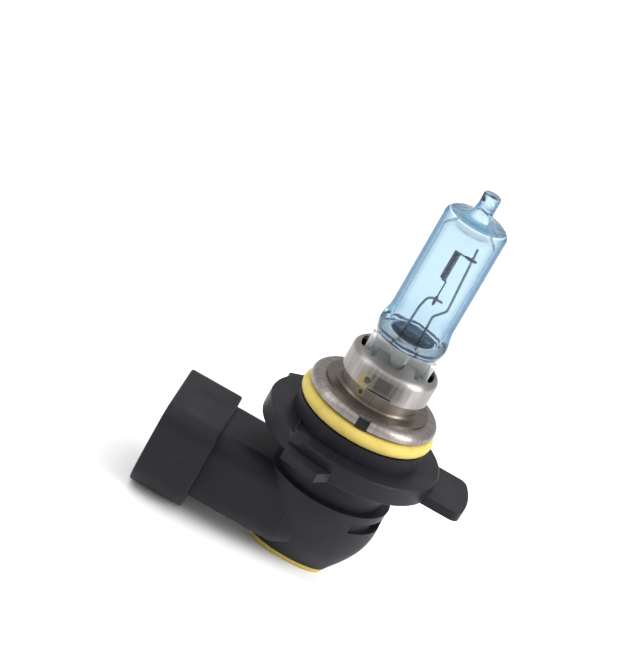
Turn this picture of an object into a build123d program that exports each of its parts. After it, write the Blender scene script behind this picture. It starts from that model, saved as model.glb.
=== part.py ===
from build123d import *
from math import cos, radians, sin, sqrt
import os

# Headlight bulb: a halogen capsule welded into a metal cap on a plastic base with a right-angle
# two-pin connector. Millimetres. +Z runs along the bulb axis from the base to the glass tip, and the
# connector points along -X. The origin is where the bulb axis meets the seating face of the flange.

# ---- Flange and bayonet lugs ----
flange_radius = 15.0
flange_thickness = 3.3
flange_edge_radius = 0.3
lug_thickness = 1.6
wide_lug_radius = 21.0
wide_lug_front = 4.6           # reach of the wide lug to the front of the bulb axis
wide_lug_back = 7.9            # and to the back of it
wide_lug_corner = 1.6
small_lug_radius = 17.8
small_lug_width = 21.0         # degrees of arc at its outer face
small_lug_flare = 6.0          # degrees that each side of a small lug spreads towards its root
small_lug_angles = (-108.0, 130.0)
scoop_radius = 2.3             # lead-in scoop in the flange edge, over the front small lug
scoop_reach = 12.2             # how near the scoop comes to the bulb axis
scoop_angle = -121.0
scoop_tilt = 25.0
rib_x = -8.6                   # short rib beside the scoop, on the seating face
rib_width = 0.45
rib_height = 0.4

# ---- Sealing ring seat and mounting ring ----
ring_radius = 11.0             # pilot radius: the metal ring centres the bulb in the lamp
ring_sheet = 0.5
ring_shoulder = 1.0
ring_lift = 0.3                # gap from the sealing ring groove to the lower edge of the skirt
ring_notch = 2.0
ring_notch_depth = 1.2
pedestal_step = 0.1            # the pedestal stands this far outside the mounting ring
pedestal_height = 2.7
seal_section = 2.6
groove_depth = 2.15
head_thickness = 1.25
fit = 0.05                     # running clearance between pieces that seat in one another

# ---- Glass capsule ----
glass_radius = 5.4
glass_wall = 1.0
glass_roof = 2.1
glass_bulge = 0.5              # how far the tube swells above the pinch
bulge_level = 1.2              # level of the widest place above the pinch
bulge_length = 5.0             # and of its upper end
seam_step = 0.3                # the seam with the pinch stands this far inside the swell
seam_slope = (0.5, 1.0)        # direction in which the tube leaves the seam
roof_rise = 0.2                # the shoulder climbs this much to the foot of the tip
glass_shoulder = 1.3
cavity_corner = 1.6
tip_flare_radius = 3.2
tip_radius = 1.52
tip_length = 4.6
tip_neck = 2.76                # length of the flare at the foot of the tip
tip_edge_radius = 0.25
cavity_floor = 18.7
floor_thickness = 0.8
press_overhang = 0.2           # the pinch is this much wider than the tube, each side
press_thickness = 2.0
press_bottom = 8.4
pinch_height = 2.0             # height of the blend from the flat pinch to the round tube
rail_width = 0.9
rail_thickness = 3.0
rail_corner = 0.36
rib_width_across = 2.9
rib_thickness = 3.2
rib_corner = 0.5

# ---- Filament, its supports and its leads ----
light_centre = 32.15           # height of the filament's middle above the seating face
coil_length = 5.1
coil_turns = 17
coil_radius = 0.48
coil_offset = -0.3
upper_support_x = 2.2          # where the long support crosses the filament's upper leg
lower_leg_x = 0.35             # the filament's lower leg hangs here
hook_level = 26.05             # height of the short support's level end
filament_wire = 0.1
leg_wire = 0.13
support_wire = 0.2
support_above_coil = 2.0
long_support_lean = 0.4        # how far the long support leans inwards from its foil to its first bend
long_support_bend = (2.85, 25.2)   # X and level of its second bend
long_support_knee = 23.3       # level of its first bend
long_support_clearance = 0.1   # its upper end stands this much inside the filament's clamp line
short_support_lean = 0.4
short_support_knee = 2.4       # its knee below the level end
short_support_step = 0.5       # from its knee to the start of the level end
short_support_reach = 1.2      # the level end passes the filament's lower leg by this much
long_support_radius = 0.9      # bends
short_support_radius = 1.2
weld_side = 0.6                # each support stands this far towards the bulb axis from its foil's middle
upper_leg_end = 0.8            # the filament's upper leg passes the long support by this much
lead_headroom = 2.0            # from the long support's tip to the roof of the cavity
clamp_gap = 0.01               # filament clamp to the support that it is welded to
clamp_taper = 0.5
upper_clamp_length = 2.1
upper_clamp_shift = 0.25       # its middle, towards the coil from the long support
lower_clamp_length = 1.8
foil_width = 2.4
foil_thickness = 0.05
foil_bottom = 10.0
foil_height = 5.2
foil_spacing = 2.3             # foil centre to bulb axis
weld_overlap = 1.4             # length of a lead that lies on its foil
lead_wire = 0.4
lead_straight = 0.8            # straight lead below its sleeve
lead_turn = 1.0                # last bend above the weld tab
lead_on_tab = 3.2              # length of lead that lies on the weld tab
lead_bend = 1.0
lead_sleeve_wall = 0.4
lead_sleeve_top = 7.6
lead_sleeve_bottom = 0.6

# ---- Collar, focusing sleeve and capsule clip ----
press_clearance = 0.7
collar_wall = 0.4
collar_foot = 2.2
collar_foot_thickness = 0.35
collar_height = 5.0
collar_root = 0.5              # fillet from the foot to the tube
collar_mouth = 0.6             # rounding inside the foot
sleeve_gap = 0.75              # sleeve outside to collar outside
sleeve_wall = 0.35
sleeve_lift = 2.85             # ring top to the sleeve's lower edge
sleeve_height = 4.25
sleeve_shoulder = 1.0
flat_count = 3                 # flats pressed inwards until they grip the collar
flat_top_margin = 1.0          # sleeve top to the upper end of a flat
slit_lift = 0.15
slit_height = 0.28
clip_sheet = 0.3
clip_skirt = 0.65
rail_window = 4.4              # front-to-back size of the windows for the pinch rails
tongue_window = 7.9            # front-to-back and side-to-side size of the window for the tongues
tongue_window_width = 8.4
tongue_root = (0.9, 3.5)       # nearest and farthest X of a tongue where it leaves the clip
tongue_tip = (1.6, 3.3)        # and at its free end
tongue_rise = 0.85

# ---- Base body, connector arm and shroud ----
waist_radius = 9.35
body_radius = 10.8
ledge_level = -9.0
body_bottom = -23.8
# Below the ledge the body narrows: level, half width across X, half depth across Y.
body_sections = (
    (ledge_level, body_radius, body_radius),
    (-12.0, 10.75, 10.0),
    (-15.1, 10.7, 8.6),
    (-18.0, 9.9, 7.1),
    (-20.9, 8.35, 5.2),
    (body_bottom, 6.5, 2.9),
)
body_wall = 2.2
neck_wall = 2.2                # sealing ring groove to the bore inside it
slot_height = 2.1              # open slot in the right front of the body
slot_top = -10.45
slot_floor = 9.6
slot_start = 6.6
slot_end = 0.5
arm_width = 16.9
arm_height = 13.2
arm_level = -15.6
arm_top_corner = 3.4
arm_bottom_corner = 5.5
arm_taper_start = -3.4         # from here the arm narrows as it runs into the body
arm_taper_end = 6.0
arm_end_width = 10.0
arm_end_height = 9.0
arm_end_rise = 1.2             # centre of the arm's narrow end above the arm's centre
arm_end_corner = 4.3
shroud_width = 20.7
shroud_height = 16.5
shroud_drop = 0.75             # shroud centre below arm centre
shroud_top_corner = 3.05
shroud_bottom_corner = 7.9
shroud_length = 9.4
shroud_edge = 0.4
connector_reach = 27.7         # bulb axis to the connector's mouth
socket_wall = 1.8
socket_step_depth = 9.0
socket_depth = 12.6
key_width = 1.4
key_height = 0.9
key_spacing = 4.2
key_start = 1.0                # connector mouth to the keys
latch_width = 5.0
latch_height = 1.5
latch_length = 3.0
latch_flat = 0.6
latch_start = 2.6              # connector mouth to the foot of the latch ramp

# ---- Terminals, port plug and seal ----
blade_width = 2.8
blade_thickness = 0.8
blade_spacing = 3.3            # blade centre to the connector's middle plane
blade_recess = 2.4             # connector mouth to blade tip
blade_point = 0.6
tab_width = 2.4
tab_reach = -2.0               # X of the weld tab's far edge
tab_top = -6.2
port_wall = 1.2
plug_thickness = 1.3
seal_inset = 0.2
seal_depth = 1.8
seal_stand_out = 0.9

# ---- Levels and radii that follow from the sizes above ----
flange_bottom = -flange_thickness
pedestal_radius = ring_radius + pedestal_step
groove_radius = ring_radius - groove_depth
seal_centre_radius = groove_radius + fit + seal_section / 2
seal_level = pedestal_height + fit + seal_section / 2
head_floor = pedestal_height + seal_section + 2 * fit
head_top = head_floor + head_thickness
head_radius = ring_radius - ring_sheet - fit
ring_top = head_top + ring_sheet
press_width = 2 * (glass_radius + press_overhang)
collar_radius = press_width / 2 + press_clearance + collar_wall
foot_radius = collar_radius + collar_foot
ring_bore = collar_radius + collar_foot / 2
sleeve_radius = collar_radius + sleeve_gap
sleeve_bottom = ring_top + sleeve_lift
sleeve_top = sleeve_bottom + sleeve_height
flat_distance = collar_radius + fit / 2 + sleeve_wall
window_reach = sleeve_radius - sleeve_shoulder
clip_radius = sleeve_radius - sleeve_wall - fit / 2
clip_top = sleeve_top - sleeve_wall - fit / 2
coil_bottom = light_centre - coil_length / 2
coil_top = light_centre + coil_length / 2
cavity_top = coil_top + support_above_coil + lead_headroom
cavity_radius = glass_radius - glass_wall
glass_top = cavity_top + glass_roof
pinch_top = cavity_floor - floor_thickness
pinch_bottom = pinch_top - pinch_height
clamp_radius = coil_radius - support_wire - clamp_gap
lead_y = support_wire - lead_wire
bore_radius = groove_radius - neck_wall
port_half_width = body_sections[-1][1] - port_wall
port_half_depth = body_sections[-1][2] - port_wall
arm_start = -connector_reach + shroud_length
socket_floor = -connector_reach + socket_depth
shroud_level = arm_level - shroud_drop


def at(x, y, z):
    """Plane parallel to the seating face, with its origin at the given point."""
    return Plane(origin=(x, y, z))


def polar(radius, angle):
    """Point on a circle round the bulb axis; the angle is in degrees from +X."""
    return radius * cos(radians(angle)), radius * sin(radians(angle))


def round_off(sketch, corner, radius):
    """Round one corner of the sketch in hand."""
    fillet(sketch.vertices().sort_by_distance((*corner, 0))[0], radius=radius)


def wire_run(points, bends, wire_radius):
    """Round wire along straight runs joined by tangent arcs."""
    with BuildLine() as route:
        FilletPolyline(*points, radius=bends)
    with BuildSketch(Plane(origin=route.line @ 0, z_dir=route.line % 0)) as section:
        Circle(wire_radius)
    sweep(sections=section.sketch, path=route.line)


def d_section(x, width, height, level, top_corner, bottom_corner):
    """Connector outline across X: flat top, small upper corners and large lower ones."""
    with BuildSketch(Plane(origin=(x, 0, level), x_dir=(0, 1, 0), z_dir=(1, 0, 0))) as outline:
        Rectangle(width, height)
        fillet(outline.vertices().group_by(Axis.Y)[-1], radius=top_corner)
        fillet(outline.vertices().group_by(Axis.Y)[0], radius=bottom_corner)
    return outline.sketch


# ---- Filament: a close-wound coil whose upper leg runs level and whose lower leg hangs ----
with BuildPart() as filament_coil:
    with BuildLine(Plane(origin=(coil_offset, 0, coil_bottom), x_dir=(0, -1, 0))) as turns:
        Helix(pitch=coil_length / coil_turns, height=coil_length, radius=coil_radius)
    with BuildSketch(Plane(origin=turns.line @ 0, z_dir=turns.line % 0)):
        Circle(filament_wire)
    sweep(path=turns.line, is_frenet=True)
    with BuildSketch(Plane.YZ.offset(coil_offset - leg_wire)):
        with Locations((-coil_radius, coil_top)):
            Circle(leg_wire)
    extrude(amount=upper_support_x + upper_leg_end - coil_offset)
    with BuildSketch(Plane.YZ.offset(coil_offset - leg_wire)):
        with Locations((-coil_radius, coil_bottom)):
            Circle(leg_wire)
    extrude(amount=lower_leg_x + leg_wire - coil_offset)
    with BuildSketch(at(lower_leg_x, -coil_radius, coil_bottom)):
        Circle(leg_wire)
    extrude(amount=-(coil_bottom - hook_level + lower_clamp_length / 2))
filament_coil.part.label = "filament_coil"

# Each support stands in the pinch, and its foot lies on a foil.
foot_level = foil_bottom + foil_height - weld_overlap
with BuildPart() as long_support:
    wire_run(
        (
            (foil_spacing - weld_side, 0, foot_level),
            (foil_spacing - weld_side - long_support_lean, 0, long_support_knee),
            (long_support_bend[0], 0, long_support_bend[1]),
            (upper_support_x - long_support_clearance, 0, coil_top + support_above_coil),
        ),
        (long_support_radius, long_support_radius),
        support_wire,
    )
long_support.part.label = "long_support"

with BuildPart() as short_support:
    wire_run(
        (
            (weld_side - foil_spacing, 0, foot_level),
            (weld_side + short_support_lean - foil_spacing, 0, hook_level - short_support_knee),
            (weld_side + short_support_lean + short_support_step - foil_spacing, 0, hook_level),
            (lower_leg_x + short_support_reach, 0, hook_level),
        ),
        (short_support_radius, short_support_radius),
        support_wire,
    )
short_support.part.label = "short_support"

def filament_clamp(middle, axis, length):
    """Sleeve crimped on a filament leg, tapered at both ends."""
    side = Plane(origin=middle, x_dir=axis, z_dir=(0, -1, 0))
    with BuildSketch(side) as profile:
        with BuildLine():
            Polyline(
                (-length / 2, leg_wire),
                (-length / 2, leg_wire + clamp_gap),
                (-length / 2 + clamp_taper, clamp_radius),
                (length / 2 - clamp_taper, clamp_radius),
                (length / 2, leg_wire + clamp_gap),
                (length / 2, leg_wire),
                close=True,
            )
        make_face()
    revolve(profile.sketch, axis=Axis(middle, axis))


with BuildPart() as upper_clamp:
    filament_clamp(
        (upper_support_x - upper_clamp_shift, -coil_radius, coil_top), (1, 0, 0), upper_clamp_length
    )
upper_clamp.part.label = "upper_filament_clamp"

with BuildPart() as lower_clamp:
    filament_clamp((lower_leg_x, -coil_radius, hook_level), (0, 0, 1), lower_clamp_length)
lower_clamp.part.label = "lower_filament_clamp"


# ---- Foils and outer leads: one of each on either side of the bulb axis ----
def make_foil(side, label):
    """Thin foil that carries the current through the pinch."""
    with BuildPart() as foil:
        with Locations((side * foil_spacing, support_wire + foil_thickness / 2, foil_bottom)):
            Box(foil_width, foil_thickness, foil_height, align=(Align.CENTER, Align.CENTER, Align.MIN))
    foil.part.label = label
    return foil


def make_outer_lead(side, label):
    """Lead from a foil down through the base to the weld tab of its terminal."""
    tab_y = side * (blade_spacing - blade_thickness / 2 - lead_wire)
    tab_x = tab_reach - tab_width / 2
    with BuildPart() as lead:
        wire_run(
            (
                (side * foil_spacing, lead_y, foil_bottom + weld_overlap),
                (side * foil_spacing, lead_y, lead_sleeve_bottom - lead_straight),
                (tab_x, tab_y, tab_top + lead_turn),
                (tab_x, tab_y, tab_top - lead_on_tab),
            ),
            (lead_bend, lead_bend),
            lead_wire,
        )
    lead.part.label = label
    return lead


def make_lead_sleeve(side, label):
    """Insulating tube on the straight part of an outer lead."""
    with BuildPart() as tube:
        with BuildSketch(at(side * foil_spacing, lead_y, lead_sleeve_bottom)):
            Circle(lead_wire + lead_sleeve_wall)
            Circle(lead_wire, mode=Mode.SUBTRACT)
        extrude(amount=lead_sleeve_top - lead_sleeve_bottom)
    tube.part.label = label
    return tube


left_foil = make_foil(-1, "left_foil")
right_foil = make_foil(1, "right_foil")
left_lead = make_outer_lead(-1, "left_outer_lead")
right_lead = make_outer_lead(1, "right_outer_lead")
left_lead_sleeve = make_lead_sleeve(-1, "left_lead_sleeve")
right_lead_sleeve = make_lead_sleeve(1, "right_lead_sleeve")

# ---- Glass envelope: round tube, flat pinch with rails and a rib, and the sealed exhaust tip ----
with BuildPart() as glass_envelope:
    swell = glass_radius + glass_bulge
    seam_radius = swell - seam_step
    with BuildSketch(Plane.XZ) as outside:
        with BuildLine():
            base = Line((0, pinch_top), (seam_radius, pinch_top))
            swelling = Spline(
                base @ 1,
                (swell, pinch_top + bulge_level),
                (glass_radius, pinch_top + bulge_length),
                tangents=(seam_slope, (0, 1)),
            )
            tube = Line(swelling @ 1, (glass_radius, glass_top))
            roof = Line(tube @ 1, (tip_flare_radius, glass_top + roof_rise))
            tip = Spline(
                roof @ 1,
                (tip_radius, glass_top + tip_neck),
                tangents=(roof % 1, (0, 1)),
            )
            Polyline(tip @ 1, (tip_radius, glass_top + tip_length), (0, glass_top + tip_length), base @ 0)
        make_face()
        round_off(outside, (glass_radius, glass_top), glass_shoulder)
        round_off(outside, (tip_radius, glass_top + tip_length), tip_edge_radius)
    revolve(axis=Axis.Z)
    with BuildSketch(at(0, 0, pinch_bottom)):
        Ellipse(press_width / 2, press_thickness / 2)
    with BuildSketch(at(0, 0, pinch_top)):
        Circle(seam_radius)
    loft()
    with BuildSketch(at(0, 0, press_bottom)):
        Rectangle(press_width, press_thickness)
        with Locations((rail_width / 2 - press_width / 2, 0), (press_width / 2 - rail_width / 2, 0)):
            RectangleRounded(rail_width, rail_thickness, rail_corner)
        RectangleRounded(rib_width_across, rib_thickness, rib_corner)
    extrude(amount=pinch_bottom + pinch_height / 2 - press_bottom)
    with BuildSketch(Plane.XZ) as inside:
        with BuildLine():
            Polyline(
                (0, cavity_floor),
                (cavity_radius, cavity_floor),
                (cavity_radius, cavity_top),
                (0, cavity_top),
                close=True,
            )
        make_face()
        round_off(inside, (cavity_radius, cavity_floor), cavity_corner)
        round_off(inside, (cavity_radius, cavity_top), cavity_corner)
    revolve(axis=Axis.Z, mode=Mode.SUBTRACT)
    for fused in (long_support, short_support, left_foil, right_foil, left_lead, right_lead):
        add(fused.part, mode=Mode.SUBTRACT)
    # The glass doesn't fill the corners between a wire and the foil that it is welded to.
    for side in (-1, 1):
        with Locations((side * (foil_spacing - weld_side), support_wire / 2, foot_level + weld_overlap / 2)):
            Box(2 * support_wire, support_wire, weld_overlap, mode=Mode.SUBTRACT)
        with Locations((side * foil_spacing, lead_y + lead_wire / 2, foil_bottom + weld_overlap / 2)):
            Box(2 * lead_wire, lead_wire, weld_overlap, mode=Mode.SUBTRACT)
glass_envelope.part.label = "glass_envelope"

# ---- Capsule clip: a shallow cup whose four tongues grip the pinch, inside the sleeve ----
with BuildPart() as capsule_clip:
    with BuildSketch(Plane.XZ) as cup:
        with BuildLine():
            Polyline(
                (0, clip_top),
                (clip_radius, clip_top),
                (clip_radius, clip_top - clip_skirt),
                (clip_radius - clip_sheet, clip_top - clip_skirt),
                (clip_radius - clip_sheet, clip_top - clip_sheet),
                (0, clip_top - clip_sheet),
                close=True,
            )
        make_face()
        round_off(cup, (clip_radius, clip_top), clip_skirt - fit)
        round_off(cup, (clip_radius - clip_sheet, clip_top - clip_sheet), clip_skirt - clip_sheet - fit)
    revolve(axis=Axis.Z)
    with BuildSketch(at(0, 0, clip_top)):
        Circle(window_reach)
        Rectangle(2 * window_reach, rail_window, mode=Mode.INTERSECT)
        Rectangle(tongue_window_width, tongue_window)
    extrude(amount=clip_sheet, both=True, mode=Mode.SUBTRACT)

with BuildPart() as tongues:
    with BuildSketch(Plane.YZ):
        with BuildLine():
            Polyline(
                (tongue_window / 2, clip_top),
                (press_thickness / 2 + fit, clip_top + tongue_rise),
                (press_thickness / 2 + fit, clip_top + tongue_rise - clip_sheet),
                (tongue_window / 2, clip_top - clip_sheet),
                close=True,
            )
        make_face()
    extrude(amount=tongue_window_width / 2)
    with BuildSketch(at(0, 0, clip_top - clip_sheet)):
        with BuildLine():
            Polyline(
                (tongue_root[0], tongue_window / 2),
                (tongue_tip[0], press_thickness / 2),
                (tongue_tip[1], press_thickness / 2),
                (tongue_root[1], tongue_window / 2),
                close=True,
            )
        make_face()
    extrude(amount=2 * tongue_rise, mode=Mode.INTERSECT)
    mirror(about=Plane.XZ)
    mirror(about=Plane.YZ)

with capsule_clip:
    add(tongues.part)
capsule_clip.part.label = "capsule_clip"

# ---- Mounting ring: pressed sheet with a rounded shoulder, a skirt and one notch ----
with BuildPart() as mounting_ring:
    with BuildSketch(Plane.XZ) as pressing:
        with BuildLine():
            Polyline(
                (ring_bore, head_top),
                (ring_radius - ring_sheet, head_top),
                (ring_radius - ring_sheet, head_floor + ring_lift),
                (ring_radius, head_floor + ring_lift),
                (ring_radius, ring_top),
                (ring_bore, ring_top),
                close=True,
            )
        make_face()
        round_off(pressing, (ring_radius, ring_top), ring_shoulder)
        round_off(pressing, (ring_radius - ring_sheet, head_top), ring_shoulder - ring_sheet)
    revolve(axis=Axis.Z)
    with Locations((0, -ring_radius, head_top)):
        Box(ring_notch, 2 * ring_notch_depth, 4 * ring_notch_depth, mode=Mode.SUBTRACT)
mounting_ring.part.label = "mounting_ring"

# ---- Focusing collar: tube on a flat foot that is welded to the mounting ring ----
with BuildPart() as focusing_collar:
    with BuildSketch(Plane.XZ) as section:
        with BuildLine():
            Polyline(
                (collar_radius - collar_wall, ring_top),
                (foot_radius, ring_top),
                (foot_radius, ring_top + collar_foot_thickness),
                (collar_radius, ring_top + collar_foot_thickness),
                (collar_radius, ring_top + collar_height),
                (collar_radius - collar_wall, ring_top + collar_height),
                close=True,
            )
        make_face()
        round_off(section, (collar_radius, ring_top + collar_foot_thickness), collar_root)
        round_off(section, (collar_radius - collar_wall, ring_top), collar_mouth)
    revolve(axis=Axis.Z)
focusing_collar.part.label = "focusing_collar"

# ---- Focusing sleeve: cup over the collar, with flats that grip it and a window for the pinch ----
flat_top = sleeve_top - flat_top_margin
flat_half_width = sqrt(sleeve_radius**2 - flat_distance**2)
flat_angles = [-90 + turn * 360 / flat_count for turn in range(flat_count)]


def radial_plane(angle):
    """Upright plane through the bulb axis, with its local X pointing out at the angle."""
    return Plane(origin=(0, 0, 0), x_dir=(*polar(1, angle), 0), z_dir=(*polar(1, angle - 90), 0))


with BuildPart() as pressed_flats:
    for angle in flat_angles:
        with BuildSketch(radial_plane(angle)):
            with BuildLine():
                Polyline(
                    (flat_distance - sleeve_wall, sleeve_bottom),
                    (flat_distance, sleeve_bottom),
                    (sleeve_radius, flat_top),
                    (sleeve_radius - sleeve_wall, flat_top),
                    close=True,
                )
            make_face()
        extrude(amount=flat_half_width, both=True)
    with BuildSketch(at(0, 0, sleeve_bottom)):
        Circle(sleeve_radius)
    extrude(amount=sleeve_height, mode=Mode.INTERSECT)

with BuildPart() as focusing_sleeve:
    with BuildSketch(Plane.XZ) as cup:
        with BuildLine():
            Polyline(
                (sleeve_radius - sleeve_wall, sleeve_bottom),
                (sleeve_radius, sleeve_bottom),
                (sleeve_radius, sleeve_top),
                (0, sleeve_top),
                (0, sleeve_top - sleeve_wall),
                (sleeve_radius - sleeve_wall, sleeve_top - sleeve_wall),
                close=True,
            )
        make_face()
        round_off(cup, (sleeve_radius, sleeve_top), sleeve_shoulder)
        round_off(cup, (sleeve_radius - sleeve_wall, sleeve_top - sleeve_wall), sleeve_shoulder - sleeve_wall)
    revolve(axis=Axis.Z)
    with BuildSketch(at(0, 0, sleeve_top)):
        Circle(window_reach)
        Rectangle(2 * window_reach, rail_window, mode=Mode.INTERSECT)
        Rectangle(tongue_window_width, tongue_window)
    extrude(amount=-2 * sleeve_wall, mode=Mode.SUBTRACT)
    for angle in flat_angles:
        with BuildSketch(radial_plane(angle)):
            with BuildLine():
                Polyline(
                    (flat_distance, sleeve_bottom),
                    (sleeve_radius + sleeve_wall, sleeve_bottom),
                    (sleeve_radius + sleeve_wall, flat_top),
                    (sleeve_radius, flat_top),
                    close=True,
                )
            make_face()
        extrude(amount=flat_half_width + sleeve_wall, both=True, mode=Mode.SUBTRACT)
    add(pressed_flats.part)
    for angle in flat_angles:
        with BuildSketch(radial_plane(angle)):
            with Locations((flat_distance, sleeve_bottom + slit_lift + slit_height / 2)):
                Rectangle(3 * sleeve_wall, slit_height)
        extrude(amount=flat_half_width - slit_height, both=True, mode=Mode.SUBTRACT)
focusing_sleeve.part.label = "focusing_sleeve"

# ---- Sealing ring ----
with BuildPart() as sealing_ring:
    with Locations((0, 0, seal_level)):
        Torus(seal_centre_radius, seal_section / 2)
sealing_ring.part.label = "sealing_ring"

# ---- Connector: an arm that runs into the body, and a wider shroud round the plug ----
with BuildPart() as connector:
    arm_outline = d_section(arm_start, arm_width, arm_height, arm_level, arm_top_corner, arm_bottom_corner)
    extrude(arm_outline, amount=arm_taper_start - arm_start)
    taper_outline = d_section(
        arm_taper_start, arm_width, arm_height, arm_level, arm_top_corner, arm_bottom_corner
    )
    end_outline = d_section(
        arm_taper_end, arm_end_width, arm_end_height, arm_level + arm_end_rise, arm_top_corner, arm_end_corner
    )
    loft(sections=[taper_outline, end_outline])

with BuildPart() as shroud:
    shroud_outline = d_section(
        -connector_reach,
        shroud_width,
        shroud_height,
        shroud_level,
        shroud_top_corner,
        shroud_bottom_corner,
    )
    extrude(shroud_outline, amount=shroud_length)
    fillet(shroud.faces().filter_by(Axis.X).edges(), radius=shroud_edge)

# ---- Base housing: flange with bayonet lugs, seal groove, hollow body and connector, in one moulding ----
with BuildPart() as base_housing:
    with BuildSketch():
        Circle(flange_radius)
    extrude(amount=-flange_thickness)
    fillet(base_housing.edges().filter_by(GeomType.CIRCLE), radius=flange_edge_radius)

    # The wide lug points along +X; two narrow ones share the rest of the circle.
    with BuildSketch(at(0, 0, flange_bottom)) as wide_lug:
        Circle(wide_lug_radius)
        with Locations((wide_lug_radius, (wide_lug_back - wide_lug_front) / 2)):
            Rectangle(2 * wide_lug_radius, wide_lug_front + wide_lug_back, mode=Mode.INTERSECT)
        lug_corners = wide_lug.vertices().filter_by_position(Axis.X, flange_radius, wide_lug_radius)
        fillet(lug_corners, radius=wide_lug_corner)
    extrude(amount=lug_thickness)
    for angle in small_lug_angles:
        with BuildSketch(at(0, 0, flange_bottom)):
            with BuildLine():
                Polyline(
                    (0, 0),
                    polar(flange_radius, angle - small_lug_width / 2 - small_lug_flare),
                    polar(small_lug_radius, angle - small_lug_width / 2),
                    polar(small_lug_radius, angle + small_lug_width / 2),
                    polar(flange_radius, angle + small_lug_width / 2 + small_lug_flare),
                    close=True,
                )
            make_face()
        extrude(amount=lug_thickness)

    # Scoop and rib beside the front small lug.
    scoop_centre = scoop_reach + scoop_radius / sin(radians(scoop_tilt))
    down_slope = (*polar(cos(radians(scoop_tilt)), scoop_angle), -sin(radians(scoop_tilt)))
    with BuildSketch(Plane(origin=(*polar(scoop_centre, scoop_angle), 0), z_dir=down_slope)):
        Circle(scoop_radius)
    extrude(amount=flange_radius, both=True, mode=Mode.SUBTRACT)
    with BuildSketch():
        with Locations((rib_x, -flange_radius / 2)):
            Rectangle(rib_width, flange_radius)
        Circle(flange_radius - 2 * flange_edge_radius, mode=Mode.INTERSECT)
        Circle(groove_radius, mode=Mode.SUBTRACT)
    extrude(amount=rib_height)

    # Pedestal, groove for the sealing ring and head for the mounting ring.
    for radius, bottom, top in (
        (pedestal_radius, 0, pedestal_height),
        (groove_radius, pedestal_height, head_floor),
        (head_radius, head_floor, head_top),
    ):
        with BuildSketch(at(0, 0, bottom)):
            Circle(radius)
        extrude(amount=top - bottom)
    fillet(base_housing.edges().group_by(Axis.Z)[-1], radius=ring_shoulder - ring_sheet + fit)
    with BuildSketch(at(0, 0, head_floor)):
        with Locations((0, -(groove_radius + ring_radius - fit) / 2)):
            Rectangle(ring_notch - 2 * fit, ring_radius - fit - groove_radius)
    extrude(amount=head_thickness)

    # Waist below the flange, and the body that narrows towards the port.
    with BuildSketch(at(0, 0, flange_bottom)):
        Circle(waist_radius)
    extrude(amount=ledge_level - flange_bottom)
    for level, half_width, half_depth in body_sections:
        with BuildSketch(at(0, 0, level)):
            Ellipse(half_width, half_depth)
    loft()
    add(connector.part)
    add(shroud.part)

    # Slot in the right front of the body.
    with BuildSketch(at(0, 0, slot_top)):
        with BuildLine():
            Polyline(
                (slot_start, slot_end),
                (2 * body_radius, slot_end),
                (2 * body_radius, -body_radius),
                (slot_start, -body_radius),
                close=True,
            )
        make_face()
        Circle(slot_floor, mode=Mode.SUBTRACT)
    extrude(amount=-slot_height, mode=Mode.SUBTRACT)

    # Hollow inside: bore, chamber for the leads, and the port in the underside.
    with BuildSketch(at(0, 0, head_top)):
        Circle(bore_radius)
    extrude(amount=ledge_level - head_top, mode=Mode.SUBTRACT)
    for level, half_width, half_depth in body_sections[:-1]:
        with BuildSketch(at(0, 0, level)):
            Ellipse(half_width - body_wall, half_depth - body_wall)
    loft(mode=Mode.SUBTRACT)
    with BuildSketch(at(0, 0, body_bottom)):
        Ellipse(port_half_width, port_half_depth)
    extrude(amount=body_sections[-2][0] - body_bottom, mode=Mode.SUBTRACT)

    # Socket for the plug, with its keys, and the slots that hold the two blades.
    shroud_socket = d_section(
        -connector_reach,
        shroud_width - 2 * socket_wall,
        shroud_height - 2 * socket_wall,
        shroud_level,
        shroud_top_corner - socket_wall,
        shroud_bottom_corner - socket_wall,
    )
    extrude(shroud_socket, amount=socket_step_depth, mode=Mode.SUBTRACT)
    arm_socket = d_section(
        -connector_reach,
        arm_width - 2 * socket_wall,
        arm_height - 2 * socket_wall,
        arm_level,
        arm_top_corner - socket_wall,
        arm_bottom_corner - socket_wall,
    )
    extrude(arm_socket, amount=socket_depth, mode=Mode.SUBTRACT)
    socket_roof = shroud_level + shroud_height / 2 - socket_wall
    key_length = socket_step_depth - key_start
    with Locations(
        (key_start + key_length / 2 - connector_reach, -key_spacing, socket_roof - key_height / 2),
        (key_start + key_length / 2 - connector_reach, key_spacing, socket_roof - key_height / 2),
    ):
        Box(key_length, key_width, key_height)
    with Locations(
        (socket_floor / 2, -blade_spacing, shroud_level),
        (socket_floor / 2, blade_spacing, shroud_level),
    ):
        Box(-socket_floor, blade_thickness, blade_width, mode=Mode.SUBTRACT)

    # Latch for the plug, on the far side of the shroud.
    latch_foot = shroud_width / 2 - socket_wall / 2
    latch_top = shroud_width / 2 + latch_height
    latch_tail = latch_start - connector_reach
    latch_front = latch_tail + latch_length + latch_flat
    with BuildSketch(at(0, 0, shroud_level)):
        with BuildLine():
            Polyline(
                (latch_tail, latch_foot),
                (latch_tail, shroud_width / 2),
                (latch_tail + latch_length, latch_top),
                (latch_front, latch_top),
                (latch_front, latch_foot),
                close=True,
            )
        make_face()
    extrude(amount=latch_width / 2, both=True)
base_housing.part.label = "base_housing"


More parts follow.
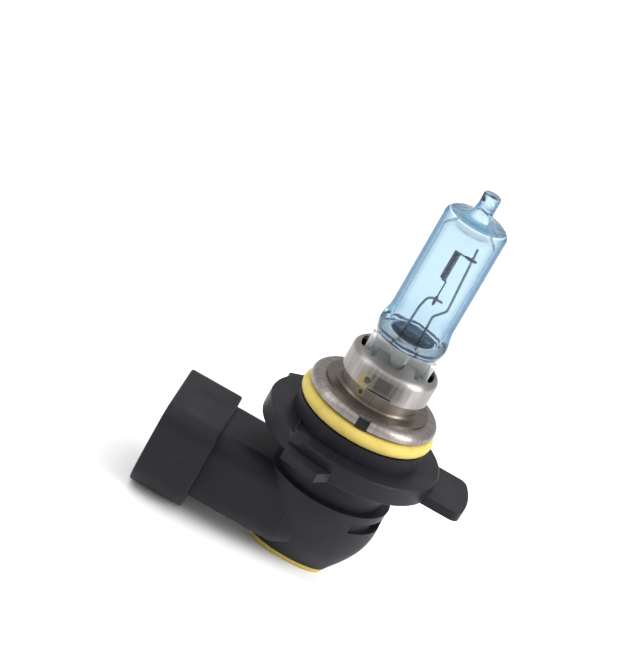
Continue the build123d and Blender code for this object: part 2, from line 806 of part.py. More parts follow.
# ---- Terminals: blade in the socket, bent up into a weld tab in the chamber ----
def make_terminal(side, label):
    """Stamped L of flat strip, standing on edge."""
    tip = -connector_reach + blade_recess
    low = shroud_level - blade_width / 2
    high = shroud_level + blade_width / 2
    with BuildPart() as terminal:
        blade_plane = Plane(origin=(0, side * blade_spacing, 0), x_dir=(1, 0, 0), z_dir=(0, -1, 0))
        with BuildSketch(blade_plane) as strip:
            with BuildLine():
                Polyline(
                    (tip, low + blade_point),
                    (tip + 2 * blade_point, low),
                    (tab_reach, low),
                    (tab_reach, tab_top),
                    (tab_reach - tab_width, tab_top),
                    (tab_reach - tab_width, high),
                    (tip + 2 * blade_point, high),
                    (tip, high - blade_point),
                    close=True,
                )
            make_face()
            round_off(strip, (tab_reach, low), blade_width / 2)
            round_off(strip, (tab_reach - tab_width, high), blade_point)
        extrude(amount=blade_thickness / 2, both=True)
    terminal.part.label = label
    return terminal


front_terminal = make_terminal(-1, "front_terminal")
rear_terminal = make_terminal(1, "rear_terminal")

# ---- Port plug and the potted seal under it ----
with BuildPart() as port_plug:
    with BuildSketch(at(0, 0, body_bottom + seal_depth)):
        Ellipse(port_half_width - fit, port_half_depth - fit)
    extrude(amount=plug_thickness)
port_plug.part.label = "port_plug"

with BuildPart() as port_seal:
    with BuildSketch(at(0, 0, body_bottom)):
        Ellipse(body_sections[-1][1] - seal_inset, body_sections[-1][2] - seal_inset)
    extrude(amount=-seal_stand_out)
    fillet(port_seal.edges().group_by(Axis.Z)[0], radius=seal_stand_out / 2)
    with BuildSketch(at(0, 0, body_bottom)):
        Ellipse(port_half_width, port_half_depth)
    extrude(amount=seal_depth)
port_seal.part.label = "port_seal"

os.makedirs("parts", exist_ok=True)
for piece in (
    glass_envelope,
    filament_coil,
    long_support,
    short_support,
    upper_clamp,
    lower_clamp,
    left_foil,
    right_foil,
    left_lead,
    right_lead,
    left_lead_sleeve,
    right_lead_sleeve,
    capsule_clip,
    focusing_sleeve,
    focusing_collar,
    mounting_ring,
    sealing_ring,
    base_housing,
    front_terminal,
    rear_terminal,
    port_plug,
    port_seal,
):
    export_step(piece.part, f"parts/{piece.part.label}.step")
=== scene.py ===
"""Headlight bulb: finishes for every piece, small weld details, and a studio to show them in."""

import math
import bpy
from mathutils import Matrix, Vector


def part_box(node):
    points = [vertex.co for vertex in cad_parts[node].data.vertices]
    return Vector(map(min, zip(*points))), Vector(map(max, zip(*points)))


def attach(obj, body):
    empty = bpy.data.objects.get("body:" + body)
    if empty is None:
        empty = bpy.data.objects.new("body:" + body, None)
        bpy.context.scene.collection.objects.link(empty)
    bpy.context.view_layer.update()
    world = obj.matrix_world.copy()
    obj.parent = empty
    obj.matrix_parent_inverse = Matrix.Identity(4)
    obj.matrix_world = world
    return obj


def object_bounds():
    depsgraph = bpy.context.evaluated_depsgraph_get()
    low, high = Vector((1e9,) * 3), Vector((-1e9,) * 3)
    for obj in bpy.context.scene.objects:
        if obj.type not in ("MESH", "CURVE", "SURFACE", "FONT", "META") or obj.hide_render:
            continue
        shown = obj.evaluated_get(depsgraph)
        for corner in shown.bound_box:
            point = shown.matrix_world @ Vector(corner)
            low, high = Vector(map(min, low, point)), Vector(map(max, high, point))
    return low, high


bl_info = {
    "name": "Headlight Bulb",
    "version": (1, 0, 0),
    "blender": (4, 5, 0),
    "location": "3D View > Sidebar > Headlight Bulb",
    "description": "Gives a headlight bulb its finishes, its weld marks and a plain studio",
    "category": "Object",
}

import bmesh
import bpy
from bpy.props import FloatProperty, FloatVectorProperty, PointerProperty
from bpy.types import Operator, Panel, PropertyGroup
from mathutils import Matrix, Vector

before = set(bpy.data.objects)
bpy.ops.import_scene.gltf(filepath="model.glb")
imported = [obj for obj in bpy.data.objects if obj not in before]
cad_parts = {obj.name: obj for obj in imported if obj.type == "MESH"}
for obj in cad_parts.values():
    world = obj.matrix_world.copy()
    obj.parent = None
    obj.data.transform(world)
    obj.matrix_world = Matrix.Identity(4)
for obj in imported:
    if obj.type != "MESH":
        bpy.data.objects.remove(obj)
cad_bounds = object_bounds()

BODY = "root"
MM = 0.001

# The envelope's regions, from the top of the glass and from the top of the clip.
TIP_REACH = 4.7 * MM
PINCH_RISE = 2.9 * MM
SEAM_TOP_RISE = 4.4 * MM
SEAM_RISES = (3.2 * MM, 4.0 * MM)
BORE_DEPTH = 0.9 * MM

# The weld spots: how far left of the bulb axis, and how high on each piece.
WELD_SIDE = -2.7 * MM
SLEEVE_WELD_RISE = 1.45 * MM
COLLAR_WELD_RISE = 1.75 * MM
COLLAR_INSET = 0.75 * MM
HEAT_SHIFT = Vector((-0.45, 0.1, -0.35)) * MM

FLOOR_GAP = 0.02 * MM
AIM = Vector((-12.4, 0.0, 11.3)) * MM


# ---- Settings ----


def colour(name, description, default):
    """A colour that a user may change."""
    return FloatVectorProperty(
        name=name, description=description, default=default, subtype="COLOR", min=0.0, max=1.0, size=3
    )


def share(name, description, default):
    """A number from 0 to 1 that a user may change."""
    return FloatProperty(
        name=name, description=description, default=default, min=0.0, max=1.0, subtype="FACTOR"
    )


def length(name, description, default):
    """A length that a user may change, in metres."""
    return FloatProperty(
        name=name, description=description, default=default, min=0.0, unit="LENGTH", precision=5
    )


def power(name, description, default):
    """The power of a light that a user may change, in watts."""
    return FloatProperty(name=name, description=description, default=default, min=0.0, unit="POWER")


def angle(name, description, degrees):
    """An angle that a user may change."""
    return FloatProperty(
        name=name, description=description, default=math.radians(degrees), subtype="ANGLE"
    )


class GlassSettings(PropertyGroup):
    face_tint: colour("Face tint", "Colour of the coating, seen face on", (0.45, 0.59, 0.68))
    edge_tint: colour(
        "Edge tint", "Colour of the coating where the wall is seen edge on", (0.055, 0.155, 0.27)
    )
    inner_tint: colour("Inner tint", "Colour of the bore of the tube", (0.93, 0.96, 0.97))
    bore_tint: colour("Bore edge tint", "Colour of the bore where it is seen edge on", (0.10, 0.23, 0.33))
    clear: colour("Clear glass", "Colour of the uncoated pinch", (0.93, 0.95, 0.95))
    seam_tint: colour("Seam tint", "Colour of the lines where the tube was closed", (0.003, 0.008, 0.02))
    seam_width: length("Seam width", "Width of a seam line", 0.0004)
    roughness: share("Roughness", "Roughness of the fire-polished glass", 0.02)
    ripple: length("Ripple", "Height of the drawn tube's slow waves", 0.00002)


class SteelSettings(PropertyGroup):
    light: colour("Steel", "Colour of the satin stainless sheet", (0.38, 0.36, 0.345))
    dark: colour("Dark steel", "Colour in the brushing's grooves", (0.14, 0.132, 0.125))
    tarnish: colour("Tarnish", "Heat colour beside the welds", (0.27, 0.20, 0.07))
    roughness: share("Roughness", "Mean roughness of the satin sheet", 0.40)
    tarnish_reach: length("Tarnish reach", "How far the heat colour spreads round a weld", 0.0016)


class WireSettings(PropertyGroup):
    tungsten: colour("Tungsten", "Colour of the filament and its clamps", (0.17, 0.17, 0.19))
    support: colour("Support wire", "Colour of the molybdenum wire", (0.24, 0.24, 0.26))
    foil: colour("Foil", "Colour of the molybdenum foils", (0.45, 0.45, 0.47))
    lead: colour("Lead", "Colour of the nickel-plated leads", (0.60, 0.58, 0.54))
    fibre: colour("Fibre sleeve", "Colour of the braided sleeves on the leads", (0.78, 0.74, 0.62))
    tin: colour("Tinned brass", "Colour of the blades", (0.66, 0.65, 0.62))


class PlasticSettings(PropertyGroup):
    black: colour("Black plastic", "Colour of the base moulding", (0.0105, 0.0103, 0.0130))
    dusty: colour("Scuffed plastic", "Colour of the moulding where it is scuffed", (0.018, 0.018, 0.022))
    roughness: share("Roughness", "Mean roughness of the moulding", 0.46)
    grain: length("Grain", "Depth of the moulding's fine grain", 0.000006)


class SealSettings(PropertyGroup):
    yellow: colour("Yellow", "Colour of the silicone seals", (0.52, 0.40, 0.10))
    deep: colour("Deep yellow", "Colour of the seals where they are soiled", (0.41, 0.31, 0.06))
    roughness: share("Roughness", "Mean roughness of the silicone", 0.62)


class WeldSettings(PropertyGroup):
    sleeve_width: length("Sleeve weld", "Width of the weld spot on the focusing sleeve", 0.00115)
    collar_width: length("Collar weld", "Width of the weld spot on the focusing collar", 0.0008)
    rim_height: length("Rim height", "Height of a weld spot's rim", 0.00007)


class StageSettings(PropertyGroup):
    floor: colour("Floor", "Colour of the floor", (0.94, 0.94, 0.94))
    sky: share("Room light", "Strength of the even light from all round", 0.72)
    overhead: power("Overhead light", "Power of the overhead softbox", 7.2)
    right: power("Right light", "Power of the tall softbox on the right", 5.0)
    left: power("Left light", "Power of the tall softbox on the left", 1.5)
    distance: length("Camera distance", "Distance from the camera to the point that it looks at", 0.498)
    elevation: angle("Elevation", "Height angle of the camera", 22.5)
    roll: angle("Roll", "How far the bulb leans to the right in the view", 29.6)
    lens: FloatProperty(name="Lens", description="Focal length of the camera in millimetres", default=178.8)


SETTINGS = {
    "glass": GlassSettings,
    "steel": SteelSettings,
    "wire": WireSettings,
    "plastic": PlasticSettings,
    "seal": SealSettings,
    "weld": WeldSettings,
    "stage": StageSettings,
}


def settings(group):
    """The scene's values of one settings group."""
    return getattr(bpy.context.scene, f"bulb_{group}")


# ---- Materials ----


class Finish:
    """A node material, built one node at a time."""

    def __init__(self, name):
        self.material = bpy.data.materials.new(name)
        self.material.use_nodes = True
        self.tree = self.material.node_tree
        self.tree.nodes.clear()

    def add(self, kind, inputs=None, **options):
        """One node, with its options set and its inputs set or linked."""
        node = self.tree.nodes.new(kind)
        for option, value in options.items():
            setattr(node, option, value)
        for key, value in (inputs or {}).items():
            if isinstance(value, bpy.types.NodeSocket):
                self.tree.links.new(value, node.inputs[key])
            else:
                node.inputs[key].default_value = value
        return node

    def place(self):
        """Position on the object, in metres."""
        return self.add("ShaderNodeTexCoord").outputs["Object"]

    def maths(self, operation, first, second=0.0, clamp=False):
        """One sum on two numbers."""
        node = self.add("ShaderNodeMath", {0: first, 1: second}, operation=operation, use_clamp=clamp)
        return node.outputs[0]

    def noise(self, place, scale, detail=3.0, roughness=0.55):
        """Noise from 0 to 1; the scale is features per metre."""
        inputs = {"Vector": place, "Scale": scale, "Detail": detail, "Roughness": roughness}
        return self.add("ShaderNodeTexNoise", inputs).outputs["Fac"]

    def remap(self, value, from_low, from_high, to_low=0.0, to_high=1.0):
        """A number moved from one range to another, and held inside it."""
        source = {"Value": value, "From Min": from_low, "From Max": from_high}
        target = {"To Min": to_low, "To Max": to_high}
        return self.add("ShaderNodeMapRange", {**source, **target}).outputs["Result"]

    def mix(self, amount, first, second):
        """A blend of two colours."""
        node = self.add("ShaderNodeMix", data_type="RGBA")
        for key, value in ((0, amount), (6, first), (7, second)):
            if isinstance(value, bpy.types.NodeSocket):
                self.tree.links.new(value, node.inputs[key])
            else:
                node.inputs[key].default_value = value if key == 0 else (*value, 1.0)
        return node.outputs[2]

    def bump(self, height, distance):
        """A bumped normal; the distance is the depth in metres."""
        inputs = {"Height": height, "Distance": distance, "Strength": 1.0}
        return self.add("ShaderNodeBump", inputs).outputs["Normal"]

    def close(self, shader):
        """Send the shader to the surface, and give the material."""
        output = self.add("ShaderNodeOutputMaterial")
        self.tree.links.new(shader.outputs[0], output.inputs["Surface"])
        return self.material


def paint(material, *names):
    """Put one material on CAD nodes."""
    for name in names:
        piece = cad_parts[name]
        piece.data.materials.clear()
        piece.data.materials.append(material)


def glass_finish(name, index, gloss, tints=None, seams=(), waves=110.0, swell=1.0):
    """Quartz glass. Tints are (how far from face on, colour) steps of the coating; the pinch has none."""
    values = settings("glass")
    finish = Finish(name)
    place = finish.place()
    if tints:
        cloud = finish.remap(finish.noise(place, 160.0), 0.3, 0.7, -0.006, 0.006)
        facing = finish.add("ShaderNodeLayerWeight", {"Blend": 0.5}).outputs["Facing"]
        facing = finish.maths("ADD", facing, cloud, clamp=True)
        ramp = finish.add("ShaderNodeValToRGB", {"Fac": facing})
        stops = ramp.color_ramp.elements
        for stop, (position, tint) in zip(stops, (tints[0], tints[-1])):
            stop.position, stop.color = position, (*tint, 1.0)
        for position, tint in tints[1:-1]:
            stops.new(position).color = (*tint, 1.0)
        level = finish.add("ShaderNodeSeparateXYZ", {0: place}).outputs["Z"]
        deepening = finish.remap(level, 27.0 * MM, 20.0 * MM, 0.0, 0.12)
        colours = finish.mix(deepening, ramp.outputs["Color"], values.edge_tint)
        sway = finish.maths("MULTIPLY", finish.maths("SUBTRACT", finish.noise(place, 230.0), 0.5), 1.6 * MM)
        for seam in seams:
            gap = finish.maths("ABSOLUTE", finish.maths("SUBTRACT", finish.maths("ADD", level, sway), seam))
            line = finish.remap(gap, values.seam_width, 0.4 * values.seam_width, 0.0, 1.0)
            colours = finish.mix(line, colours, values.seam_tint)
    else:
        cloud = finish.remap(finish.noise(place, 600.0), 0.35, 0.7)
        colours = finish.mix(cloud, values.clear, [c * 0.93 for c in values.clear])
    ripple = finish.noise(place, waves, 1.0)
    grease = finish.noise(place, 900.0)
    shader = finish.add(
        "ShaderNodeBsdfPrincipled",
        {
            "Base Color": colours,
            "Normal": finish.bump(ripple, values.ripple * swell),
            "Roughness": finish.remap(grease, 0.3, 0.7, values.roughness, values.roughness + 0.02),
        },
    )
    shader.inputs["Transmission Weight"].default_value = 1.0 if tints else 0.66
    shader.inputs["IOR"].default_value = index
    shader.inputs["Coat Weight"].default_value = gloss
    shader.inputs["Coat IOR"].default_value = 1.46
    shader.inputs["Coat Roughness"].default_value = 0.03
    return finish.close(shader)


def wire_finish(name, tone, metallic=1.0, roughness=0.42, streak=9000.0):
    """Drawn wire or rolled sheet with fine die lines and a slightly uneven tone."""
    finish = Finish(name)
    place = finish.place()
    lines = finish.noise(place, streak, 2.0)
    patches = finish.noise(place, 700.0)
    tones = finish.mix(
        finish.remap(patches, 0.3, 0.7), [c * 0.72 for c in tone], [min(1.0, c * 1.25) for c in tone]
    )
    shader = finish.add(
        "ShaderNodeBsdfPrincipled",
        {
            "Base Color": tones,
            "Roughness": finish.remap(lines, 0.3, 0.7, roughness - 0.08, roughness + 0.12),
            "Normal": finish.bump(lines, 0.000003),
        },
    )
    shader.inputs["Metallic"].default_value = metallic
    return finish.close(shader)


def fibre_finish():
    """Braided glass-fibre sleeve."""
    values = settings("wire")
    finish = Finish("fibre_sleeve")
    place = finish.place()
    braid = {"Vector": place, "Scale": 900.0, "Distortion": 1.5}
    weave = finish.add("ShaderNodeTexWave", braid, bands_direction="DIAGONAL").outputs["Fac"]
    tones = finish.mix(weave, [c * 0.75 for c in values.fibre], values.fibre)
    shader = finish.add(
        "ShaderNodeBsdfPrincipled", {"Base Color": tones, "Normal": finish.bump(weave, 0.00003)}
    )
    shader.inputs["Roughness"].default_value = 0.85
    return finish.close(shader)


def steel_finish(name, welds=(), groove=1.0, dark_reflection_span=None, painted_light_scale=(1.0, 1.0, 1.0), brush=1.0):
    """Satin stainless: streaks along the bulb axis on the walls and towards it on the flats."""
    values = settings("steel")
    finish = Finish(name)
    place = finish.place()
    flat = finish.add(
        "ShaderNodeVectorMath", {0: place, 1: (1.0, 1.0, 0.0)}, operation="MULTIPLY"
    ).outputs[0]
    ray = finish.add("ShaderNodeVectorMath", {0: flat}, operation="NORMALIZE").outputs[0]
    away = finish.add("ShaderNodeVectorMath", {0: flat}, operation="LENGTH").outputs["Value"]
    level = finish.add("ShaderNodeSeparateXYZ", {0: place}).outputs["Z"]
    along = finish.maths("MULTIPLY", finish.maths("SUBTRACT", level, away), 11.0)
    lift = finish.add("ShaderNodeCombineXYZ", {"Z": along}).outputs[0]
    grain = finish.add("ShaderNodeVectorMath", {0: ray, 1: lift}, operation="ADD").outputs[0]
    fine = finish.noise(grain, 42.0, 4.0, 0.7)
    coarse = finish.noise(grain, 16.0, 2.0)
    blotch = finish.noise(place, 420.0, 3.0)
    streaks = finish.maths("MULTIPLY", fine, 0.6)
    streaks = finish.maths("ADD", streaks, finish.maths("MULTIPLY", coarse, 0.4), clamp=True)
    # The per-piece scale multiplies the steel's colours: lit and shaded copies of one steel, painted light
    # above 1 and painted shade below 1.
    dark, light = ([c * part for c, part in zip(tone, painted_light_scale)] for tone in (values.dark, values.light))
    amount = finish.remap(streaks, 0.3, 0.72, 0.5 - 0.5 * brush, 0.5 + 0.5 * brush)
    tones = finish.mix(amount, dark, light)
    stain = finish.remap(blotch, 0.56, 0.72, 0.0, 0.35)
    tones = finish.mix(stain, tones, [c * 0.55 for c in light])
    if dark_reflection_span is not None:
        # Painted dark reflection on the three flats that the punch pressed: a darker band on each flat,
        # ragged at its sides and fading out towards its top and its bottom.
        low, high = dark_reflection_span
        split = finish.add("ShaderNodeSeparateXYZ", {0: place})
        turn = finish.maths("ARCTAN2", split.outputs["Y"], split.outputs["X"])
        turn = finish.maths("ADD", turn, math.radians(90.0 + 360.0))
        turn = finish.maths("MODULO", finish.maths("ADD", turn, math.radians(60.0)), math.radians(120.0))
        turn = finish.maths("ABSOLUTE", finish.maths("SUBTRACT", turn, math.radians(60.0)))
        ragged = finish.maths("MULTIPLY", finish.maths("SUBTRACT", coarse, 0.5), 0.5)
        turn = finish.maths("ADD", turn, ragged)
        sides = finish.remap(turn, math.radians(44.0), math.radians(6.0))
        upper = finish.remap(level, high, high - 1.1 * MM)
        lower = finish.remap(level, low, low + 1.0 * MM, 0.45, 1.0)
        dark_reflection = finish.maths("MULTIPLY", sides, finish.maths("MULTIPLY", upper, lower))
        tones = finish.mix(finish.maths("MULTIPLY", dark_reflection, 0.92), tones, [c * 0.36 for c in values.dark])
    for middle, reach in welds:
        gap = finish.add("ShaderNodeVectorMath", {0: place, 1: middle}, operation="DISTANCE")
        gap = gap.outputs["Value"]
        rough_edge = finish.maths("MULTIPLY", finish.noise(place, 1500.0), 0.9 * reach)
        gap = finish.maths("ADD", gap, finish.maths("SUBTRACT", rough_edge, 0.45 * reach))
        heat = finish.remap(gap, reach, 0.35 * reach, 0.0, 0.8)
        tones = finish.mix(heat, tones, values.tarnish)
    shader = finish.add(
        "ShaderNodeBsdfPrincipled",
        {
            "Base Color": tones,
            "Roughness": finish.remap(streaks, 0.3, 0.7, values.roughness + 0.10, values.roughness - 0.07),
            "Normal": finish.bump(streaks, 0.000012 * groove),
        },
    )
    turned = finish.add("ShaderNodeTangent", direction_type="RADIAL", axis="Z").outputs["Tangent"]
    finish.tree.links.new(turned, shader.inputs["Tangent"])
    shader.inputs["Metallic"].default_value = 1.0
    shader.inputs["Anisotropic"].default_value = 0.7
    shader.inputs["Anisotropic Rotation"].default_value = 0.25
    return finish.close(shader)


def plastic_finish():
    """Moulded glass-filled plastic: fine grain, soft flow marks and faint scuffs."""
    values = settings("plastic")
    finish = Finish("black_plastic")
    place = finish.place()
    grain = finish.noise(place, 7000.0, 2.0)
    flow = finish.noise(place, 130.0, 3.0)
    specks = finish.remap(finish.noise(place, 2600.0, 4.0, 0.7), 0.62, 0.80)
    scuffs = finish.maths("MULTIPLY", finish.remap(finish.noise(place, 330.0, 5.0, 0.65), 0.55, 0.78), 0.55)
    worn = finish.maths("ADD", scuffs, finish.maths("MULTIPLY", specks, 0.4), clamp=True)
    tones = finish.mix(worn, values.black, values.dusty)
    rough = finish.remap(flow, 0.3, 0.7, values.roughness - 0.06, values.roughness + 0.08)
    heights = finish.maths("ADD", grain, finish.maths("MULTIPLY", flow, 1.5))
    shader = finish.add(
        "ShaderNodeBsdfPrincipled",
        {"Base Color": tones, "Roughness": rough, "Normal": finish.bump(heights, values.grain)},
    )
    shader.inputs["Specular IOR Level"].default_value = 0.17
    shader.inputs["Specular Tint"].default_value = (0.88, 0.86, 1.0, 1.0)
    return finish.close(shader)


def seal_finish(name, gloss=0.0):
    """Silicone: even yellow, faintly soiled, with a soft sheen."""
    values = settings("seal")
    finish = Finish(name)
    place = finish.place()
    soil = finish.remap(finish.noise(place, 380.0, 4.0), 0.5, 0.75, 0.0, 0.7)
    tones = finish.mix(soil, values.yellow, values.deep)
    skin = finish.noise(place, 3500.0, 2.0)
    dull = values.roughness - gloss
    shader = finish.add(
        "ShaderNodeBsdfPrincipled",
        {
            "Base Color": tones,
            "Roughness": finish.remap(skin, 0.3, 0.7, dull - 0.06, dull + 0.08),
            "Normal": finish.bump(skin, 0.000006),
        },
    )
    shader.inputs["Specular IOR Level"].default_value = 0.25
    shader.inputs["Subsurface Weight"].default_value = 0.12
    shader.inputs["Subsurface Radius"].default_value = (0.0010, 0.0007, 0.0002)
    return finish.close(shader)


# ---- Shapes ----


def weld_spot(name, middle, outward, width, rim, material):
    """A resistance weld's mark: a low ring round a shallow dimple, with a nugget in the middle."""
    rings = ((0.0, 0.75), (0.14, 0.7), (0.24, 0.15), (0.34, 0.1), (0.42, 0.85), (0.46, 0.8), (0.5, -0.3))
    steps = 48
    mesh = bmesh.new()
    centre = mesh.verts.new((0.0, 0.0, rings[0][1] * rim))
    under = mesh.verts.new((0.0, 0.0, rings[-1][1] * rim))
    loops = []
    for reach, height in rings[1:]:
        loop = []
        for step in range(steps):
            turn = 2.0 * math.pi * step / steps
            wobble = 1.0 + 0.05 * math.sin(3.0 * turn + 0.7) + 0.03 * math.sin(5.0 * turn)
            radius = reach * width * wobble
            loop.append(mesh.verts.new((radius * math.cos(turn), radius * math.sin(turn), height * rim)))
        loops.append(loop)
    for step in range(steps):
        mesh.faces.new((centre, loops[0][step], loops[0][(step + 1) % steps]))
        mesh.faces.new((under, loops[-1][(step + 1) % steps], loops[-1][step]))
        for inner, outer in zip(loops, loops[1:]):
            mesh.faces.new((inner[step], outer[step], outer[(step + 1) % steps], inner[(step + 1) % steps]))
    for face in mesh.faces:
        face.smooth = True
    data = bpy.data.meshes.new(name)
    mesh.to_mesh(data)
    mesh.free()
    piece = bpy.data.objects.new(name, data)
    bpy.context.scene.collection.objects.link(piece)
    facing = Vector(outward).normalized()
    turned = facing.to_track_quat("Z", "Y").to_matrix().to_4x4()
    piece.matrix_world = Matrix.Translation(Vector(middle)) @ turned
    data.materials.append(material)
    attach(piece, BODY)
    return piece


def softbox(name, place, aim, width, height, power):
    """A square-cornered area light that points at a place."""
    light = bpy.data.lights.new(name, "AREA")
    light.shape = "RECTANGLE"
    light.size = width
    light.size_y = height
    light.energy = power
    lamp = bpy.data.objects.new(name, light)
    bpy.context.scene.collection.objects.link(lamp)
    lamp.location = place
    lamp.rotation_euler = (Vector(aim) - Vector(place)).to_track_quat("-Z", "Y").to_euler()
    return lamp


# ---- Operators ----


class BULB_OT_glass(Operator):
    """Finish the glass envelope"""

    bl_idname = "bulb.glass"
    bl_label = "Glass envelope"

    def execute(self, context):
        values = settings("glass")
        face_on, edge = values.face_tint, values.edge_tint
        tube = [(0.25, face_on), (0.60, edge), (0.90, [c * 0.7 for c in edge])]
        bore = [(0.70, values.inner_tint), (0.84, values.bore_tint)]
        end = [(0.05, face_on), (0.30, edge), (0.70, [c * 0.4 for c in edge])]
        clip_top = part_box("capsule_clip")[1].z
        glass_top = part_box("glass_envelope")[1]
        seams = [clip_top + rise for rise in SEAM_RISES]
        finishes = [
            glass_finish("tinted_glass", 1.05, 0.35, tube),
            glass_finish("tip_glass", 1.38, 0.15, end, waves=520.0, swell=55.0),
            glass_finish("seam_glass", 1.30, 0.1, tube, seams, waves=260.0, swell=5.0),
            glass_finish("clear_glass", 1.40, 0.2, waves=520.0, swell=10.0),
            glass_finish("bore_glass", 1.05, 0.2, bore),
        ]
        tube_glass, tip_glass, seam_glass, clear_glass, bore_glass = range(len(finishes))
        paint(finishes[tube_glass], "glass_envelope")
        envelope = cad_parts["glass_envelope"].data
        for finish in finishes[tip_glass:]:
            envelope.materials.append(finish)
        for face in envelope.polygons:
            if face.center.z > glass_top.z - TIP_REACH:
                face.material_index = tip_glass
            elif face.center.z < clip_top + PINCH_RISE:
                face.material_index = clear_glass
            elif face.center.z < clip_top + SEAM_TOP_RISE:
                face.material_index = seam_glass
            elif face.center.xy.length < glass_top.x - BORE_DEPTH:
                face.material_index = bore_glass
        return {"FINISHED"}


class BULB_OT_filament(Operator):
    """Finish the filament, its clamps and its supports"""

    bl_idname = "bulb.filament"
    bl_label = "Filament and supports"

    def execute(self, context):
        values = settings("wire")
        paint(wire_finish("tungsten", values.tungsten, 0.8, 0.5), "filament_coil")
        paint(wire_finish("clamp_tungsten", [c * 0.7 for c in values.tungsten], 0.6, 0.55),
              "upper_filament_clamp", "lower_filament_clamp")
        paint(wire_finish("support_wire", values.support, 1.0, 0.4), "long_support", "short_support")
        return {"FINISHED"}


class BULB_OT_leads(Operator):
    """Finish the foils, the outer leads and their sleeves"""

    bl_idname = "bulb.leads"
    bl_label = "Foils and leads"

    def execute(self, context):
        values = settings("wire")
        paint(wire_finish("foil", values.foil, 1.0, 0.38), "left_foil", "right_foil")
        paint(wire_finish("lead_wire", values.lead, 1.0, 0.35), "left_outer_lead", "right_outer_lead")
        paint(fibre_finish(), "left_lead_sleeve", "right_lead_sleeve")
        return {"FINISHED"}


class BULB_OT_cap(Operator):
    """Finish the clip, the focusing sleeve, the collar and the mounting ring, and add the weld spots"""

    bl_idname = "bulb.cap"
    bl_label = "Metal cap"

    def execute(self, context):
        values = settings("weld")
        heat = settings("steel").tarnish_reach
        sleeve_low, sleeve_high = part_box("focusing_sleeve")
        collar_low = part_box("focusing_collar")[0]
        sleeve_radius = sleeve_high.x
        collar_radius = sleeve_radius - COLLAR_INSET
        sleeve_front = -math.sqrt(sleeve_radius**2 - WELD_SIDE**2)
        collar_front = -math.sqrt(collar_radius**2 - WELD_SIDE**2)
        sleeve_spot = Vector((WELD_SIDE, sleeve_front, sleeve_low.z + SLEEVE_WELD_RISE))
        collar_spot = Vector((WELD_SIDE, collar_front, collar_low.z + COLLAR_WELD_RISE))
        heat_place = sleeve_spot + HEAT_SHIFT
        # Height span of the painted dark reflection on the sleeve's flats, from the sleeve's bottom to just
        # under its top.
        dark_reflection_span = (sleeve_low.z, sleeve_high.z - 0.3 * MM)
        # Each piece gets its own copy of the steel: painted light on the sleeve and the clip, painted shade
        # making the collar under the sleeve much darker and warmer, and the ring slightly darker.
        sleeve_steel = steel_finish(
            "sleeve_stainless", [(heat_place, heat)], dark_reflection_span=dark_reflection_span, painted_light_scale=(1.12, 1.11, 1.11), brush=0.35
        )
        collar_steel = steel_finish(
            "collar_stainless", [(collar_spot, heat * 0.6)], painted_light_scale=(0.58, 0.53, 0.46), brush=0.5
        )
        ring_steel = steel_finish("ring_stainless", groove=1.4, painted_light_scale=(0.98, 0.94, 0.92), brush=0.85)
        paint(sleeve_steel, "focusing_sleeve")
        paint(collar_steel, "focusing_collar")
        paint(ring_steel, "mounting_ring")
        paint(steel_finish("clip_stainless", painted_light_scale=(1.2, 1.2, 1.2), brush=0.5), "capsule_clip")
        spot = wire_finish("weld_metal", [c * 0.17 for c in settings("steel").light], 1.0, 0.3)
        weld_spot("sleeve_weld", sleeve_spot, (sleeve_spot.x, sleeve_spot.y, 0.0),
                  values.sleeve_width, values.rim_height, spot)
        weld_spot("collar_weld", collar_spot, (collar_spot.x, collar_spot.y, 0.0),
                  values.collar_width, values.rim_height, spot)
        return {"FINISHED"}


class BULB_OT_seals(Operator):
    """Finish the sealing ring and the port seal"""

    bl_idname = "bulb.seals"
    bl_label = "Seals"

    def execute(self, context):
        paint(seal_finish("yellow_rubber"), "sealing_ring")
        paint(seal_finish("yellow_resin", 0.12), "port_seal")
        return {"FINISHED"}


class BULB_OT_base(Operator):
    """Finish the base housing and the port plug"""

    bl_idname = "bulb.base"
    bl_label = "Base"

    def execute(self, context):
        paint(plastic_finish(), "base_housing", "port_plug")
        return {"FINISHED"}


class BULB_OT_terminals(Operator):
    """Finish the blade terminals"""

    bl_idname = "bulb.terminals"
    bl_label = "Terminals"

    def execute(self, context):
        tin = wire_finish("tinned_brass", settings("wire").tin, 1.0, 0.3, 5000.0)
        paint(tin, "front_terminal", "rear_terminal")
        return {"FINISHED"}


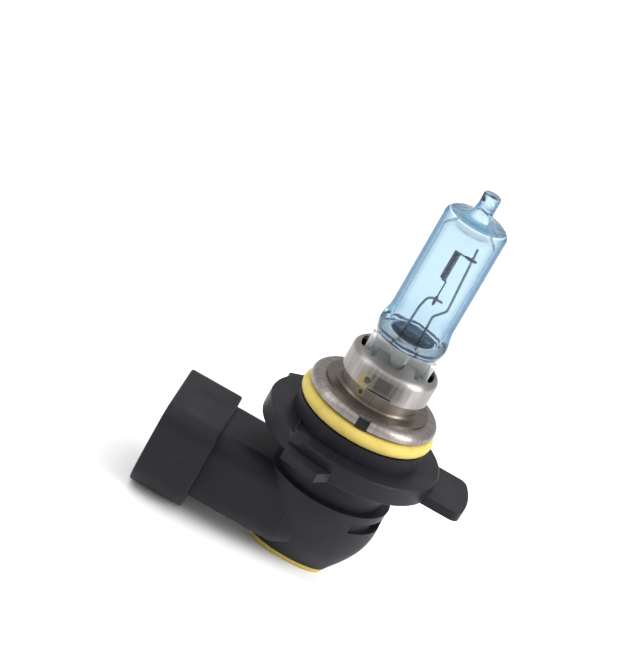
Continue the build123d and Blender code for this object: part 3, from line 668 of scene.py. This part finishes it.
class BULB_OT_stage(Operator):
    """Set up the floor, the lights and the camera"""

    bl_idname = "bulb.stage"
    bl_label = "Studio"

    def execute(self, context):
        values = settings("stage")
        scene = context.scene
        lowest = cad_bounds[0][2]

        floor_data = bpy.data.meshes.new("studio_floor")
        half = 2.0
        corners = [(-half, -half, 0.0), (half, -half, 0.0), (half, half, 0.0), (-half, half, 0.0)]
        floor_data.from_pydata(corners, [], [(0, 1, 2, 3)])
        floor = bpy.data.objects.new("studio_floor", floor_data)
        scene.collection.objects.link(floor)
        floor.location.z = lowest - FLOOR_GAP
        finish = Finish("studio_paper")
        paper = finish.noise(finish.place(), 60.0)
        matt = finish.remap(paper, 0.3, 0.7, 0.85, 0.95)
        shader = finish.add("ShaderNodeBsdfPrincipled", {"Roughness": matt})
        shader.inputs["Base Color"].default_value = (*values.floor, 1.0)
        floor_data.materials.append(finish.close(shader))

        world = bpy.data.worlds.new("studio_air")
        world.use_nodes = True
        scene.world = world
        air = world.node_tree.nodes["Background"]
        air.inputs["Color"].default_value = (1.0, 1.0, 1.0, 1.0)
        air.inputs["Strength"].default_value = values.sky

        softbox("overhead_softbox", (0.0, 0.0, 0.90), AIM, 1.6, 1.6, values.overhead)
        softbox("right_softbox", (0.54, -0.12, 0.30), AIM, 0.3, 0.6, values.right)
        softbox("left_softbox", (-0.54, -0.16, 0.30), AIM, 0.3, 0.6, values.left)

        camera_data = bpy.data.cameras.new("studio_camera")
        camera_data.lens = values.lens
        camera_data.sensor_width = 36.0
        camera_data.sensor_fit = "HORIZONTAL"
        camera_data.clip_start = 0.01
        camera_data.clip_end = 20.0
        camera = bpy.data.objects.new("studio_camera", camera_data)
        scene.collection.objects.link(camera)
        back = Vector((0.0, -math.cos(values.elevation), math.sin(values.elevation)))
        level_up = Vector((0.0, math.sin(values.elevation), math.cos(values.elevation)))
        level_right = Vector((1.0, 0.0, 0.0))
        right = math.cos(values.roll) * level_right + math.sin(values.roll) * level_up
        upward = math.cos(values.roll) * level_up - math.sin(values.roll) * level_right
        turn = Matrix((right, upward, back)).transposed().to_4x4()
        camera.matrix_world = Matrix.Translation(AIM + back * values.distance) @ turn
        scene.camera = camera
        scene.view_settings.view_transform = "Standard"
        return {"FINISHED"}


OPERATORS = (
    BULB_OT_glass,
    BULB_OT_filament,
    BULB_OT_leads,
    BULB_OT_cap,
    BULB_OT_seals,
    BULB_OT_base,
    BULB_OT_terminals,
    BULB_OT_stage,
)


class BULB_PT_sidebar(Panel):
    """The bulb's sizes, colours and pieces"""

    bl_idname = "BULB_PT_sidebar"
    bl_label = "Headlight Bulb"
    bl_space_type = "VIEW_3D"
    bl_region_type = "UI"
    bl_category = "Headlight Bulb"

    def draw(self, context):
        for group, kind in SETTINGS.items():
            box = self.layout.box()
            box.label(text=group.capitalize())
            for name in kind.__annotations__:
                box.prop(getattr(context.scene, f"bulb_{group}"), name)
        for operator in OPERATORS:
            self.layout.operator(operator.bl_idname)


CLASSES = (*SETTINGS.values(), *OPERATORS, BULB_PT_sidebar)


def register():
    """Make the settings, operators and panel known to Blender."""
    for kind in CLASSES:
        bpy.utils.register_class(kind)
    for group, kind in SETTINGS.items():
        setattr(bpy.types.Scene, f"bulb_{group}", PointerProperty(type=kind))


def unregister():
    """Take the settings, operators and panel out again."""
    for group in SETTINGS:
        delattr(bpy.types.Scene, f"bulb_{group}")
    for kind in reversed(CLASSES):
        bpy.utils.unregister_class(kind)


def main():
    """Finish every piece and set the stage."""
    register()
    bpy.ops.bulb.glass()
    bpy.ops.bulb.filament()
    bpy.ops.bulb.leads()
    bpy.ops.bulb.cap()
    bpy.ops.bulb.seals()
    bpy.ops.bulb.base()
    bpy.ops.bulb.terminals()
    bpy.ops.bulb.stage()


if __name__ == "__main__":
    main()
